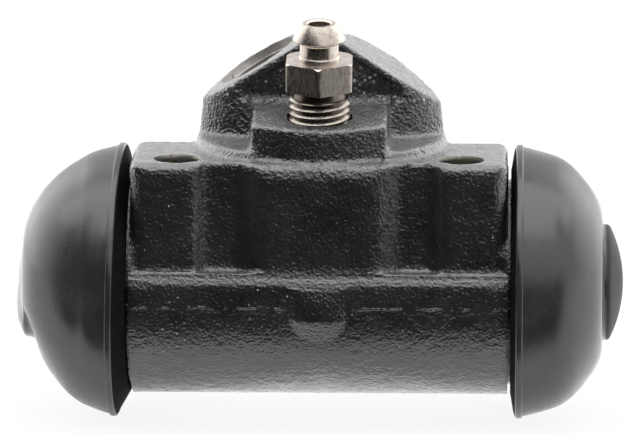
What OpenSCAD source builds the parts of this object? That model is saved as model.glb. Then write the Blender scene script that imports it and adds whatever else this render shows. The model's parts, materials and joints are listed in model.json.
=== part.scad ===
// Wheel cylinder of a drum brake: a cast barrel with a bolted flange, a gabled
// port head, a bleeder screw, and two pistons with seals behind dust boots.
// Lengths are in millimetres. The origin is the middle of the two bolt holes on
// the mounting face, X runs along the bore and Z points out of the face.

/* [Barrel] */
// Diameter of the bore that the pistons run in
bore_d = 25.4; // [24:0.1:27]
// Thickness of the cast wall round the bore
barrel_wall = 4.5; // [3.8:0.1:5.2]
// Length of the cast barrel and of the flange
barrel_length = 57; // [55:0.5:62]
// Wall of the machined neck at each end
neck_wall = 3; // [2.6:0.1:3.4]
// Length of each neck beyond the cast barrel
neck_length = 5; // [4.6:0.1:5.6]
// Height of the shelf along the barrel front above the bore axis
shelf_height = 4.1; // [3.6:0.1:4.4]
// Height of the sloping edge of the shelf
shelf_slope = 1.8; // [1.4:0.1:2]
// Depth of the mould parting line below the bore axis
parting_drop = 1.2; // [0.8:0.1:1.6]
// Step of the barrel at the parting line
parting_step = 0.15; // [0.1:0.05:0.3]

/* [Mounting flange] */
// Height of the mounting face above the barrel
face_rise = 3.6; // [3.2:0.1:5]
// Distance between the two bolt holes
bolt_spacing = 42.7; // [41.5:0.1:43.2]
// Bore of the tapped bolt holes
bolt_hole_d = 6.7; // [5.5:0.1:7]
// Full depth of the bolt holes
bolt_hole_depth = 8; // [6:0.1:8.5]
// Distance from the flange front to the bolt holes
bolt_edge = 5.2; // [4.9:0.1:5.8]
// Width of the flange from front to back
flange_width = 20.3; // [18:0.1:22]
// Setback of the flange front from the front of the barrel
front_setback = 1.3; // [1.1:0.1:1.5]
// Depth of the hollow between a bolt lobe and the middle column
web_recess = 2; // [1.4:0.1:2.2]
// Lean of the flange ends, in degrees
end_draft = 3.5; // [1:0.5:5]
// Rounding of the lobe corners
lobe_corner_r = 2.8; // [2:0.1:4]
// Rounding of the flange edges
edge_r = 1; // [0.6:0.1:1.4]
// Rounding of the front edge of the flange
front_edge_r = 1.5; // [1.2:0.1:1.7]
// Rounding of the upper edge of the middle column
column_edge_r = 2.4; // [1.8:0.1:2.6]

/* [Port head] */
// Diameter of the round pilot on the mounting face
pilot_d = 38.1; // [37:0.1:39]
// Height of the pilot above the mounting face
pilot_height = 1.4; // [1:0.1:2.2]
// Distance of the pilot centre behind the bore axis
pilot_back = 3; // [2.4:0.1:3.4]
// Height of the ridge above the mounting face, before its rounding
ridge_height = 18.1; // [17.4:0.1:18.8]
// Slope of each side of the head, in degrees
head_slope = 33; // [31:0.2:34.4]
// Rounding of the ridge
ridge_r = 6; // [4:0.1:6.4]
// Distance of the front wall of the head behind the bore axis
head_front = 0; // [-0.5:0.1:0.5]
// Width of the front wall of the head
gable_width = 27; // [26:0.1:28]
// Lean of the round wall of the head, in degrees
head_draft = 4; // [2:0.5:6]
// Diameter of each round boss of the head at its foot
boss_d = 20; // [19:0.1:20.6]
// Distance of each boss from the middle of the head
boss_reach = 10.3; // [9.8:0.1:10.8]
// Distance of the bosses behind the bore axis
boss_back = 8.8; // [8.4:0.1:9.2]
// Lean of the boss walls, in degrees
boss_draft = 10; // [7:0.5:12]
// Distance of the back of the web between the bosses behind the bore axis
web_back = 9.5; // [8:0.1:11]
// Rounding of the two front corners of the head
head_corner_r = 3.5; // [2:0.1:4.5]
// Drop of the machined left side of the roof below the cast right side
port_side_drop = 0.3; // [0.2:0.1:0.8]
// Depth of the hollow in the front wall behind the bleeder screw
notch_depth = 1.4; // [0.6:0.1:2]
// Width of the rim that the hollow leaves under the roof
gable_rim = 1.1; // [0.8:0.1:1.6]
// Width that the hollow gains on each side of the block
notch_flare = 1.8; // [1:0.1:2.2]

/* [Inlet port] */
// Distance of the port from the middle of the head
port_reach = 10; // [9:0.1:10.5]
// Distance of the port behind the bore axis
port_back = 8.9; // [8.6:0.1:9.2]
// Slope of the machined port face, in degrees
port_slope = 31.5; // [31.2:0.1:32.6]
// Forward lean of the port, in degrees
port_lean = 1; // [0:0.2:1.6]
// Diameter of the seal counterbore
port_seat_d = 13; // [11:0.1:13.6]
// Depth of the seal counterbore
port_seat_depth = 1.1; // [0.6:0.1:1.6]
// Bore of the inlet thread
port_bore_d = 8.7; // [7.5:0.1:9.5]
// Depth of the inlet thread below the counterbore
port_bore_depth = 10.5; // [8:0.1:12]
// Diameter of the drilled oil passages
passage_d = 2.6; // [1.8:0.1:3.2]

/* [Bleeder block] */
// Width of the block
block_width = 20.4; // [18:0.1:21.5]
// Distance of the round block front from the bore axis
block_front = 14.6; // [14.2:0.1:15.2]
// Height of the front edge of the platform above the mounting face
platform_height = 5; // [4:0.1:6]
// Forward lean of the bleeder screw and its platform, in degrees
bleeder_lean = 7.5; // [4:0.5:9]
// Distance of the bleeder screw in front of the bore axis, at the platform
bleeder_front = 7.6; // [7.2:0.1:8]

/* [Bleeder screw] */
// Thread diameter of the bleeder screw
bleeder_thread_d = 9.3; // [8:0.1:10]
// Width of the hexagon across its flats
hex_width = 9.9; // [9.4:0.1:11]
// Height of the hexagon
hex_height = 4.4; // [3.5:0.1:6]
// Gap between the platform and the hexagon
hex_lift = 4.7; // [3.2:0.1:6]
// Diameter of the nipple neck
nipple_d = 5.9; // [5:0.1:6.6]
// Height of the nipple above the hexagon
nipple_height = 5.7; // [5:0.1:8]
// Largest diameter of the nipple head
nipple_head_d = 7.9; // [7.2:0.1:8.6]
// Diameter of the drilled hole down the screw
bleed_hole_d = 3.4; // [2.4:0.1:3.8]
// Length of the thread below the platform
bleeder_depth = 9; // [8:0.1:9.6]

/* [Dust boots] */
// Rim diameter of the boots
boot_rim_d = 41.8; // [40.5:0.1:44]
// Length of a boot beyond the cast barrel
boot_length = 17.6; // [16.8:0.1:20]
// Thickness of the boot wall
boot_wall = 2.2; // [1.6:0.1:2.6]
// Radius of the rounded shoulder
shoulder_r = 8.3; // [7.6:0.1:8.8]
// Diameter of the domed button
button_d = 17.5; // [16.4:0.1:18]
// Height of the button above the shoulder
button_height = 3.3; // [2.8:0.1:4]
// Thickness of the button
button_wall = 2.4; // [2:0.1:2.8]
// Distance of the rim land from the cast barrel
rim_gap = 1.4; // [1.2:0.1:1.6]
// Width of the rim land
rim_land = 0.8; // [0.6:0.1:1]
// Height of the dome on the button
dome_height = 2.1; // [1.2:0.1:2.5]

/* [Pistons and seals] */
// Length of the full diameter of a piston
piston_length = 14; // [12:0.1:15]
// Depth of the piston shoulder inside the bore
piston_recess = 1.5; // [1:0.1:2.5]
// Thickness of the base of a cup seal
cup_base = 2.5; // [1.8:0.1:3.2]
// Height of the lip of a cup seal
cup_lip = 3; // [2:0.1:4]
// Sheet thickness of a cup expander
expander_sheet = 0.6; // [0.4:0.1:0.8]
// Distance of the edge of a cup expander from the bore
expander_margin = 2.8; // [2.6:0.1:3.4]
// Height of the collar that centres the spring
collar_height = 2; // [1.2:0.1:2.6]
// Wire diameter of the return spring
wire_d = 1.2; // [0.9:0.1:1.4]
// Mean diameter of the return spring
spring_d = 13.4; // [12:0.1:14.2]
// Turns of the return spring
spring_turns = 6; // [4:0.5:7]
// Clearance of a running fit, per side
fit = 0.05; // [0.02:0.01:0.08]

/* [Hidden] */
$fn = 64;
bore_r = bore_d / 2;
barrel_r = bore_r + barrel_wall;
neck_r = bore_r + neck_wall;
barrel_end = barrel_length / 2;
bore_end = barrel_end + neck_length;
face_z = barrel_r + face_rise;
front_y = -(barrel_r - front_setback);
back_y = front_y + flange_width;
bolt_y = front_y + bolt_edge;
bolt_x = bolt_spacing / 2;
web_y = front_y + web_recess;
column_half = 8.7;
flank = 3.6;
column_y = front_y - 0.3;
pilot_r = pilot_d / 2;
head_r = pilot_r - 0.25;
gable_half = gable_width / 2;
ridge_z = face_z + ridge_height;
port_z = ridge_z - port_side_drop - port_reach * tan(port_slope) + port_back * tan(port_lean) / cos(port_slope);
lobe_inner = bolt_x - 2.5;
platform_z = face_z + platform_height;
bleeder_z = platform_z + (block_front - bleeder_front) * tan(bleeder_lean);
bleeder_r = bleeder_thread_d / 2;
tapped_r = bleeder_r + fit;
groove_depth = 0.8;
groove_start = 1.6;
groove_end = 3.2;
seat_gap = 0.2;
end_u = boot_length - button_height;
button_r = button_d / 2;
recess_r = button_r - 0.85;
nose_r = recess_r - 0.3;
button_floor = boot_length - button_wall;
nose_end = barrel_end + button_floor - fit;
shoulder_x = bore_end - piston_recess;
piston_x = shoulder_x - piston_length;
cup_x = piston_x - cup_base;
spring_half = cup_x - expander_sheet;
wire_r = wire_d / 2;

// Part to draw

// Points of an arc about a centre
function arc(c, r, from, to, steps) =
  [for (i = [0:steps]) c + r * [cos(from + (to - from) * i / steps), sin(from + (to - from) * i / steps)]];

// Points that round the corner p between its neighbours a and b
function rounded(a, p, b, r, steps = 6) =
  let (
    u = (a - p) / norm(a - p),
    v = (b - p) / norm(b - p),
    half = acos(u * v) / 2,
    m = (u + v) / norm(u + v),
    c = p + m * r / sin(half),
    s = p + u * r / tan(half) - c,
    e = p + v * r / tan(half) - c,
    start = atan2(s[1], s[0]),
    turn = atan2(s[0] * e[1] - s[1] * e[0], s * e)
  )
  arc(c, r, start, start + turn, steps);

// Closed outline whose corners are rounded by the radius in their third number
function outline(p) =
  [for (i = [0:len(p) - 1])
    let (
      n = len(p),
      a = p[(i + n - 1) % n],
      q = p[i],
      b = p[(i + 1) % n]
    )
    each (q[2] > 0
      ? rounded([a[0], a[1]], [q[0], q[1]], [b[0], b[1]], q[2])
      : [[q[0], q[1]]])];

// Places a piece drawn about the bore axis into the frame of the part
module in_frame() {
  translate([0, -bolt_y, -face_z]) children();
}

// Turns a profile of axial and radial lengths about the bore axis
module turned(points) {
  rotate([0, 90, 0])
    rotate_extrude($fn = 96)
      polygon([for (p = points) [p[1], p[0]]]);
}

// Rod along the bore axis
module rod(r, from, to) {
  translate([from, 0, 0]) rotate([0, 90, 0]) cylinder(r = r, h = to - from, $fn = 96);
}

// Prism of a side profile in Y and Z, along X
module across(points, from, to) {
  translate([from, 0, 0])
    rotate([90, 0, 90])
      linear_extrude(height = to - from) polygon(points);
}

// Prism of a front profile in X and Z, along Y
module deep(points, from, to) {
  translate([0, to, 0])
    rotate([90, 0, 0])
      linear_extrude(height = to - from) polygon(points);
}

// Frame on the sloping inlet face with Z out of the port
module at_inlet() {
  translate([-port_reach, port_back, port_z]) rotate([port_lean, -port_slope, 0]) children();
}

// Frame on the platform with Z up the bleeder screw
module at_bleeder() {
  translate([0, -bleeder_front, bleeder_z]) rotate([bleeder_lean, 0, 0]) children();
}

// Right half of the flange, with its bolt lobe
module flange_half() {
  low_x = barrel_end - face_z * tan(end_draft);
  intersection() {
    linear_extrude(height = face_z)
      polygon(outline([
        [-1, back_y, 0],
        [-1, front_y, 0],
        [barrel_end, front_y, lobe_corner_r],
        [barrel_end, back_y, lobe_corner_r]]));
    deep(outline([
        [-1, 0, 0],
        [low_x, 0, 0],
        [barrel_end, face_z, edge_r],
        [-1, face_z, 0]]), front_y - 1, back_y + 1);
    across(outline([
        [back_y, 0, 0],
        [back_y, face_z, edge_r],
        [front_y, face_z, front_edge_r],
        [front_y, 0, 0]]), -1, barrel_end + 1);
  }
}

// Hollow in the flange front between the right lobe and the middle column
module hollow() {
  column_edge = [column_half, column_y];
  column_foot = [column_half + flank, web_y];
  lobe_foot = [lobe_inner - web_recess, web_y];
  lobe_edge = [lobe_inner, front_y];
  convex = rounded([0, column_y], column_edge, column_foot, 5);
  far = rounded(lobe_foot, lobe_edge, [barrel_end, front_y], 1.2);
  translate([0, 0, shelf_height])
    linear_extrude(height = face_z)
      polygon([
        [convex[0][0], column_y - 2],
        each convex,
        each rounded(column_edge, column_foot, lobe_foot, 1.5),
        each rounded(column_foot, lobe_foot, lobe_edge, 1.2),
        each far,
        [far[len(far) - 1][0], column_y - 2]]);
}

// Column on the flange front that carries the bleeder drilling
module column() {
  half = column_half + 1;
  across(outline([
      [0, 0, 0],
      [0, face_z, 0],
      [column_y, face_z, column_edge_r],
      [column_y, 0, 0]]), -half, half);
}

// Room in front of the flange above the shelf, cut from the round barrel
module front_relief() {
  depth = barrel_r + front_y + 1.5;
  translate([-barrel_end - 1, -barrel_r - 1, shelf_height])
    cube([barrel_length + 2, depth, face_z]);
}

// Thicker front of the barrel between the parting line and the shelf
module front_shelf() {
  y = -barrel_r - parting_step;
  half = barrel_end - 0.4;
  slope_z = shelf_height - shelf_slope;
  intersection() {
    across(outline([
        [0, -parting_drop, 0],
        [0, shelf_height, 0],
        [front_y - 0.2, shelf_height, 0.8],
        [y, slope_z, 1],
        [y, -parting_drop, 0]]), -half, half);
    deep(outline([
        [-half, -parting_drop - 1, 0],
        [half, -parting_drop - 1, 0],
        [half, slope_z, 1],
        [half - shelf_slope, shelf_height, 1],
        [-half + shelf_slope, shelf_height, 1],
        [-half, slope_z, 1]]), y - 1, 1);
  }
}

// Round tongue that runs down from the shelf over the front of the barrel
module tongue() {
  r = 5.6;
  front = barrel_r + parting_step;
  translate([0, 0, -parting_drop - 0.2])
    rotate([90, 0, 0])
      rotate_extrude($fn = 96)
        polygon(outline([
          [0, front - 5, 0],
          [r, front - 5, 0],
          [r, front, 3.2],
          [0, front, 0]]));
}

// Bevel at the right mouth of the bore
module mouth() {
  translate([bore_end - 0.8, 0, 0])
    rotate([0, 90, 0])
      cylinder(r1 = bore_r - 0.2, r2 = bore_r + 0.8, h = 1, $fn = 96);
}

// Pilot disc with the cone below it that runs into the barrel
module pilot() {
  difference() {
    union() {
      translate([0, pilot_back, face_z - 1])
        cylinder(r = pilot_r, h = pilot_height + 0.6, $fn = 96);
      translate([0, pilot_back, face_z + pilot_height - 0.4])
        cylinder(r1 = pilot_r, r2 = pilot_r - 0.4, h = 0.4, $fn = 96);
    }
    translate([0.3 - block_width / 2, -pilot_d, face_z - 2])
      cube([block_width - 0.6, pilot_d + head_front - 2, pilot_height + 3]);
  }
  intersection() {
    translate([0, pilot_back, barrel_r / 3])
      cylinder(r1 = pilot_r - 4, r2 = pilot_r - 0.3, h = face_z - barrel_r / 3, $fn = 96);
    translate([-pilot_r, back_y - 3, 0]) cube([pilot_d, pilot_d, face_z]);
  }
}

// Round boss of the head, side 1 on the right and -1 on the left
module head_boss(side) {
  h = ridge_height + 1;
  translate([side * boss_reach, boss_back, face_z])
    cylinder(d1 = boss_d, d2 = boss_d - 2 * h * tan(boss_draft), h = h, $fn = 96);
}

// Gabled head of two bosses and a web, with its left side machined for the inlet
module head() {
  low = pilot_r + 1;
  eave_z = ridge_z - low * tan(head_slope);
  port_eave_z = ridge_z - low * tan(head_slope - 3);
  h = ridge_height + 1;
  difference() {
    intersection() {
      union() {
        head_boss(1);
        head_boss(-1);
        translate([0, 0, face_z])
          linear_extrude(height = h)
            polygon(outline([
              [-gable_half, head_front, head_corner_r],
              [gable_half, head_front, head_corner_r],
              [gable_half, web_back, 0],
              [-gable_half, web_back, 0]]));
      }
      translate([0, pilot_back, face_z])
        cylinder(r1 = head_r, r2 = head_r - h * tan(head_draft), h = h, $fn = 96);
      deep(outline([
          [-low, face_z, 0],
          [low, face_z, 0],
          [low, eave_z, 0],
          [0, ridge_z, ridge_r],
          [-low, port_eave_z, 0]]), head_front - 1, pilot_back + pilot_r);
    }
    at_inlet() translate([-pilot_d, -pilot_d, 0]) cube([2 * pilot_d, 2 * pilot_d, ridge_height]);
  }
}

// Hollow in the front wall of the head that gives a spanner room above the platform
module notch() {
  half = block_width / 2 + notch_flare;
  rise = tan(bleeder_lean);
  rear = head_front + notch_depth;
  rim = gable_rim / cos(head_slope);
  fall = half * tan(head_slope) + rim;
  intersection() {
    across([
        [rear, platform_z + (block_front + rear) * rise],
        [rear, ridge_z + 1],
        [-block_front - 1, ridge_z + 1],
        [-block_front - 1, platform_z - rise]], -half, half);
    deep(outline([
        [-half, face_z, 0],
        [half, face_z, 0],
        [half, ridge_z - fall, edge_r],
        [0, ridge_z - rim, ridge_r],
        [-half, ridge_z - port_side_drop - fall, edge_r]]), -block_front - 2, rear + 1);
  }
}

// Block in front of the head whose platform takes the bleeder screw
module block() {
  rear = head_front + notch_depth + 2;
  half = block_width / 2;
  rear_z = platform_z + (block_front + rear) * tan(bleeder_lean);
  intersection() {
    across(outline([
        [rear, face_z - 1, 0],
        [rear, rear_z, 0],
        [-block_front, platform_z, edge_r],
        [-block_front, face_z - 1, 0]]), -half, half);
    translate([0, pilot_r - block_front, face_z - 2]) cylinder(r = pilot_r, h = rear_z - face_z + 3, $fn = 96);
  }
}

// Boot groove round the right neck
module groove() {
  difference() {
    rod(neck_r + 1, barrel_end + groove_start, barrel_end + groove_end);
    rod(neck_r - groove_depth, barrel_end + groove_start - 1, barrel_end + groove_end + 1);
  }
}

// Tapped bolt hole with its drill point
module bolt_hole() {
  r = bolt_hole_d / 2;
  translate([bolt_x, bolt_y, face_z - bolt_hole_depth]) cylinder(r = r, h = bolt_hole_depth + 1);
  translate([bolt_x, bolt_y, face_z - bolt_hole_depth - r * 0.55])
    cylinder(r1 = 0.05, r2 = r, h = r * 0.55);
}

// Faced port, thread bore, seat and passage of the inlet
module inlet_cut() {
  floor_z = -port_seat_depth;
  tap_z = floor_z - port_bore_depth;
  tap_r = port_bore_d / 2;
  passage_r = passage_d / 2;
  reach = (port_z - 5) / cos(port_slope);
  at_inlet() {
    translate([0, 0, floor_z]) cylinder(d = port_seat_d, h = 4);
    translate([0, 0, tap_z]) cylinder(r = tap_r, h = port_bore_depth + 1);
    translate([0, 0, tap_z - tap_r + passage_r]) cylinder(r1 = passage_r, r2 = tap_r, h = tap_r - passage_r);
    translate([0, 0, -reach]) cylinder(r = passage_r, h = reach + tap_z);
  }
}

// Thread bore, seat and passage of the bleeder screw
module bleeder_cut() {
  passage_r = passage_d / 2;
  seat_h = tapped_r - passage_r;
  at_bleeder() {
    translate([0, 0, -bleeder_depth]) cylinder(r = tapped_r, h = bleeder_depth + 3);
    translate([0, 0, -0.6]) cylinder(r1 = tapped_r, r2 = tapped_r + 0.7, h = 0.7);
    translate([0, 0, -bleeder_depth - seat_h]) cylinder(r1 = passage_r, r2 = tapped_r, h = seat_h);
    translate([0, 0, -bleeder_z + 9]) cylinder(r = passage_r, h = bleeder_z - 9 - bleeder_depth);
  }
}

module cylinder_body() {
  color([0.1, 0.1, 0.11])
    in_frame()
      difference() {
        union() {
          rod(neck_r, -bore_end, 0.5 - barrel_end);
          rod(neck_r, barrel_end - 0.5, bore_end);
          difference() {
            union() {
              difference() {
                rod(barrel_r, -barrel_end, barrel_end);
                front_relief();
              }
              flange_half();
              mirror([1, 0, 0]) flange_half();
              column();
            }
            hollow();
            mirror([1, 0, 0]) hollow();
          }
          front_shelf();
          tongue();
          pilot();
          difference() {
            head();
            notch();
          }
          block();
        }
        rod(bore_r, -bore_end - 1, bore_end + 1);
        mouth();
        mirror([1, 0, 0]) mouth();
        groove();
        mirror([1, 0, 0]) groove();
        bolt_hole();
        mirror([1, 0, 0]) bolt_hole();
        inlet_cut();
        bleeder_cut();
      }
}

module bleeder_screw() {
  tip_r = passage_d / 2 + 0.5;
  seat_h = tapped_r - tip_r;
  hex_top = hex_lift + hex_height;
  top = hex_top + nipple_height;
  neck = nipple_d / 2;
  head = nipple_head_d / 2;
  relief = bleeder_r - 0.7;
  hole = bleed_hole_d / 2;
  plain = bleeder_r - 1.2;
  color([0.62, 0.58, 0.5])
    in_frame()
      at_bleeder()
        difference() {
          union() {
            rotate_extrude()
              polygon([
                [0, -bleeder_depth - seat_h + seat_gap],
                [tip_r, -bleeder_depth - seat_h + seat_gap],
                [plain, -bleeder_depth - tapped_r + plain + seat_gap],
                [plain, -bleeder_depth + 2],
                [bleeder_r, -bleeder_depth + 3],
                [bleeder_r, hex_lift - 1],
                [relief, hex_lift - 0.4],
                [relief, hex_lift + 1],
                [0, hex_lift + 1]]);
            intersection() {
              translate([0, 0, hex_lift]) rotate([0, 0, 30]) cylinder(d = hex_width / cos(30), h = hex_height, $fn = 6);
              rotate_extrude()
                polygon([
                  [0, hex_lift - 1],
                  [hex_width / 2 + 2, hex_lift - 1],
                  [hex_width / 2 + 2, hex_top - 1.2],
                  [hex_width / 2 - 0.3, hex_top],
                  [0, hex_top]]);
            }
            rotate_extrude()
              polygon([
                [0, hex_top - 1],
                [neck + 0.1, hex_top - 1],
                [neck + 0.1, hex_top + 0.7],
                [neck, hex_top + 1],
                [neck, top - 3.3],
                [head - 0.4, top - 2.9],
                [head, top - 2.4],
                [hole + 0.85, top],
                [0, top]]);
          }
          translate([0, 0, -bleeder_depth + 1.4]) cylinder(r = hole, h = top + bleeder_depth);
          translate([0, 0, -bleeder_depth + 1.4]) rotate([0, 90, 0]) cylinder(r = 0.9, h = 12, center = true, $fn = 32);
        }
}

// Dust boot of the right end
module boot() {
  lip_r = neck_r + fit;
  bead_r = neck_r - groove_depth + fit;
  rim_r = boot_rim_d / 2;
  c = [end_u - shoulder_r, button_r + 1.3];
  start = [rim_gap + rim_land + 0.2, rim_r - 0.25];
  away = start - c;
  lean = atan2(away[1], away[0]);
  meet = lean - acos(shoulder_r / norm(away));
  inner_r = shoulder_r - boot_wall;
  dome_edge = boot_length - dome_height;
  dome_r = (button_r * button_r + dome_height * dome_height) / (2 * dome_height);
  dome_c = [boot_length - dome_r, 0];
  dome_angle = asin(button_r / dome_r);
  translate([barrel_end, 0, 0])
    turned(concat(
      [[0.45, lip_r], [0.45, barrel_r], [1, rim_r - 1], [rim_gap, rim_r], [rim_gap + rim_land, rim_r], start],
      arc(c, shoulder_r, meet, 0, 14),
      [[end_u, button_r + 0.4], [end_u + 0.4, button_r]],
      arc(dome_c, dome_r, dome_angle, 0, 10),
      [[button_floor, 0], [button_floor, recess_r], [end_u - boot_wall, recess_r]],
      arc(c, inner_r, 0, meet, 10),
      [[neck_length + 0.6, rim_r - 1 - boot_wall],
        [neck_length + 0.3, lip_r],
        [groove_end - fit, lip_r], [groove_end - fit, bead_r],
        [groove_start + fit, bead_r], [groove_start + fit, lip_r]]));
}

module left_boot() {
  color([0.16, 0.16, 0.17]) in_frame() mirror([1, 0, 0]) boot();
}

module right_boot() {
  color([0.16, 0.16, 0.17]) in_frame() boot();
}

// Piston of the right end with a nose that bears on the boot
module piston() {
  r = bore_r - fit;
  turned([
    [piston_x, 0], [piston_x, r - 0.6], [piston_x + 0.6, r],
    [shoulder_x - 0.6, r], [shoulder_x, r - 0.6],
    [shoulder_x, nose_r + 0.6], [shoulder_x + 0.6, nose_r],
    [nose_end - 0.8, nose_r], [nose_end, nose_r - 0.8], [nose_end, 0]]);
}

module left_piston() {
  color([0.75, 0.76, 0.78]) in_frame() mirror([1, 0, 0]) piston();
}

module right_piston() {
  color([0.75, 0.76, 0.78]) in_frame() piston();
}

// Cup seal of the right end, lip toward the middle
module cup() {
  r = bore_r - fit;
  turned([
    [piston_x, 0], [cup_x, 0], [cup_x, r - 2.4],
    [cup_x - cup_lip, r - 1.2], [cup_x - cup_lip, r], [piston_x - 0.6, r], [piston_x, r - 0.6]]);
}

module left_cup() {
  color([0.08, 0.08, 0.08]) in_frame() mirror([1, 0, 0]) cup();
}

module right_cup() {
  color([0.08, 0.08, 0.08]) in_frame() cup();
}

// Sheet expander in the right cup with a collar that centres the spring
module expander() {
  hub = spring_d / 2 - wire_r - 0.3;
  turned([
    [cup_x, 0], [cup_x, bore_r - expander_margin],
    [spring_half, bore_r - expander_margin],
    [spring_half, hub], [spring_half - collar_height, hub],
    [spring_half - collar_height, hub - expander_sheet], [spring_half, hub - expander_sheet], [spring_half, 0]]);
}

module left_expander() {
  color([0.55, 0.56, 0.58]) in_frame() mirror([1, 0, 0]) expander();
}

module right_expander() {
  color([0.55, 0.56, 0.58]) in_frame() expander();
}

module return_spring() {
  r = spring_d / 2;
  sides = 8;
  steps = 20;
  turns = spring_turns + 2;
  rings = turns * steps;
  open = 2 * spring_half - 3 * wire_d;
  // Axial place of the wire, with one closed turn at each end
  function climb(t) =
    t < 1 ? wire_r + wire_d * t
    : t > turns - 1 ? 2 * spring_half - wire_r - wire_d * (turns - t)
    : wire_r + wire_d + (open - wire_d) * (t - 1) / (turns - 2);
  points = [for (i = [0:rings]) for (k = [0:sides - 1])
    let (
      t = i / steps,
      a = 360 * k / sides + 22.5,
      reach = r + wire_r * 0.98 * cos(a)
    )
    [climb(t) - spring_half + wire_r * 0.98 * sin(a), reach * cos(360 * t), reach * sin(360 * t)]];
  walls = [for (i = [0:rings - 1]) for (k = [0:sides - 1])
    let (j = (k + 1) % sides)
    [i * sides + k, i * sides + j, (i + 1) * sides + j, (i + 1) * sides + k]];
  caps = [[for (k = [sides - 1:-1:0]) k], [for (k = [0:sides - 1]) rings * sides + k]];
  color([0.5, 0.51, 0.53]) in_frame() polyhedron(points = points, faces = concat(walls, caps));
}

cylinder_body();
bleeder_screw();
left_boot();
right_boot();
left_piston();
right_piston();
left_cup();
right_cup();
left_expander();
right_expander();
return_spring();
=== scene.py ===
# %% [markdown]
# # A wheel cylinder of a drum brake
# This lesson dresses a CAD model of a wheel cylinder: a cast iron body in black
# enamel, a plated bleeder screw and two rubber dust boots over the pistons.
# The CAD model comes in as a fixed frame. Each step below makes one finished
# piece that stands for a CAD solid, or gives a solid its material.

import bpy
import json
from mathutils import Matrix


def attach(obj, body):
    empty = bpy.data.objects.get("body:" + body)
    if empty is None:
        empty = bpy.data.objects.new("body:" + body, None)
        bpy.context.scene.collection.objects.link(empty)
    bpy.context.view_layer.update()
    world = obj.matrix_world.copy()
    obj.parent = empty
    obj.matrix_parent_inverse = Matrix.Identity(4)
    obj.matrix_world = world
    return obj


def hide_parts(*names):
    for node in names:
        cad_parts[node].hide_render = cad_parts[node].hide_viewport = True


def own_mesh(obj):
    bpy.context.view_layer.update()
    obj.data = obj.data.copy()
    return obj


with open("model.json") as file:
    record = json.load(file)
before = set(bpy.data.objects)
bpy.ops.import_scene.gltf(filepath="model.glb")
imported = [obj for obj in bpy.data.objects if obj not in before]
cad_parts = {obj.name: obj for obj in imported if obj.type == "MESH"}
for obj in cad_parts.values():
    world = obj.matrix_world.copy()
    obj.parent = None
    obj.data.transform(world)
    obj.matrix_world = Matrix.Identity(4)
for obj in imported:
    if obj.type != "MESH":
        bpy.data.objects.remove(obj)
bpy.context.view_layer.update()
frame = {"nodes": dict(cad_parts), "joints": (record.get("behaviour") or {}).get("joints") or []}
print("CAD nodes:", ", ".join(sorted(frame["nodes"])))

# %% [markdown]
# ## Units and the bore axis
# The frame is in metres, while a machinist thinks in millimetres, so lengths
# are written in millimetres and scaled once. Most of the part is turned about
# the bore, so its axis is the place that the other pieces are measured from.

# %% Units and the bore axis
import json
import math

import bmesh
import bpy
from mathutils import Matrix, Vector

MM = 0.001
BORE = Vector((0, 10.7, -20.8))
BARREL_END = 28.5
BARREL_R = 17.2
print("bore axis through", tuple(BORE), "mm")

# %% [markdown]
# ## Camera
# A small part is photographed from far away with a long lens, so that its
# edges stay parallel. The camera stands a metre away, a little to the right
# and 11 degrees above the horizon, and the lens makes 97.6 mm fill the picture.

# %% Camera
DISTANCE = 1.0
SENSOR = 36
PICTURE_WIDTH = 640 * 0.1525 * MM
azimuth = math.radians(1.7)
elevation = math.radians(11)
back = Vector((
    math.sin(azimuth) * math.cos(elevation),
    -math.cos(azimuth) * math.cos(elevation),
    math.sin(elevation)))
aim = (BORE + Vector((-0.15, 0, 9.86))) * MM
camera_data = bpy.data.cameras.new("camera")
camera_data.sensor_width = SENSOR
camera_data.lens = SENSOR * DISTANCE / PICTURE_WIDTH
camera_data.clip_start = 0.05
camera_data.clip_end = 20
camera = bpy.data.objects.new("camera", camera_data)
camera.location = aim + back * DISTANCE
camera.rotation_euler = back.to_track_quat("Z", "Y").to_euler()
bpy.context.scene.collection.objects.link(camera)
bpy.context.scene.camera = camera
bpy.context.scene.view_settings.view_transform = "Standard"
print("lens", round(camera_data.lens, 1), "mm")

# %% [markdown]
# ## Node helpers
# A material is a small machine of nodes. These helpers add a node, join two
# sockets, do sums and fade from one value to another, so that the materials
# below read as recipes.

# %% Node helpers
def node(tree, kind, **settings):
    made = tree.nodes.new(kind)
    for key, value in settings.items():
        setattr(made, key, value)
    return made


def join(tree, source, target):
    tree.links.new(source, target)


def math_node(tree, operation, a, b=None):
    made = node(tree, "ShaderNodeMath", operation=operation)
    for slot, value in enumerate((a, b)):
        if value is None:
            continue
        if isinstance(value, (int, float)):
            made.inputs[slot].default_value = value
        else:
            join(tree, value, made.inputs[slot])
    return made.outputs[0]


def times(tree, a, b):
    return math_node(tree, "MULTIPLY", a, b)


def plus(tree, a, b):
    return math_node(tree, "ADD", a, b)


def minus(tree, a, b):
    return math_node(tree, "SUBTRACT", a, b)


def larger(tree, a, b):
    return math_node(tree, "MAXIMUM", a, b)


def fade(tree, value, start, end, low=0.0, high=1.0):
    made = node(tree, "ShaderNodeMapRange", interpolation_type="SMOOTHSTEP")
    join(tree, value, made.inputs["Value"])
    made.inputs["From Min"].default_value = start
    made.inputs["From Max"].default_value = end
    made.inputs["To Min"].default_value = low
    made.inputs["To Max"].default_value = high
    return made.outputs["Result"]


# %% [markdown]
# ## Studio
# Glossy black paint shows almost nothing but its surroundings. In a product
# studio these are white walls and a softbox above, with the dark room round the
# camera, and that dark patch is what makes the front of the casting read black.
# The world shader paints this room: white, with a soft dark window in front whose
# upper edge is lower on the right, where a window of the studio lights the part.

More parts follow.
